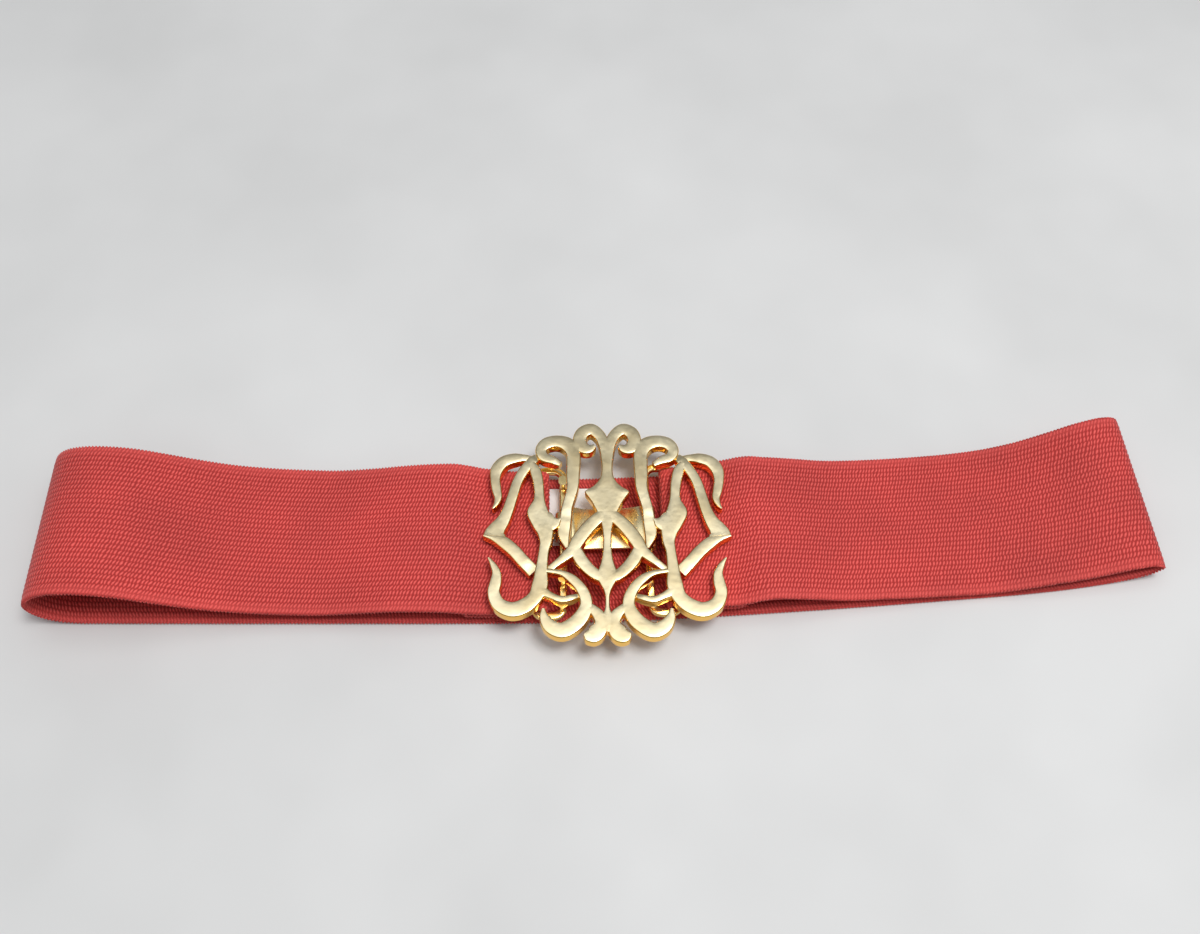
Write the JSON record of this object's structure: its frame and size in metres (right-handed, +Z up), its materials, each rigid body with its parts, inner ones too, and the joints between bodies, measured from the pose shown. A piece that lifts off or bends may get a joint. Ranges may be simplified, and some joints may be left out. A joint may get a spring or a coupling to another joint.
{
  "type": "stretch belt",
  "caption": "Wide knitted stretch belt lying closed, with a pierced cast scrollwork buckle, wire rings, a hook plate and a blank label.",
  "frame": {"origin": "under the middle of the belt's outer box, on the surface that the belt lies on", "axes": "+Z up from that surface, +X along the belt to the wearer's left as it is worn, +Y to the belt's upper edge"},
  "size_m": [0.3578, 0.078, 0.0239],
  "materials": {
    "elastic": "matt ribbed knit",
    "plaque": "satin gilt with polished rims",
    "wire": "polished",
    "label": "matt woven tape"
  },
  "bodies": {
    "root": {"elastic_band": "elastic", "buckle_plaque": "plaque", "clasp_ring": "wire", "clasp_hook": "wire", "label": "label"}
  },
  "joints": []
}
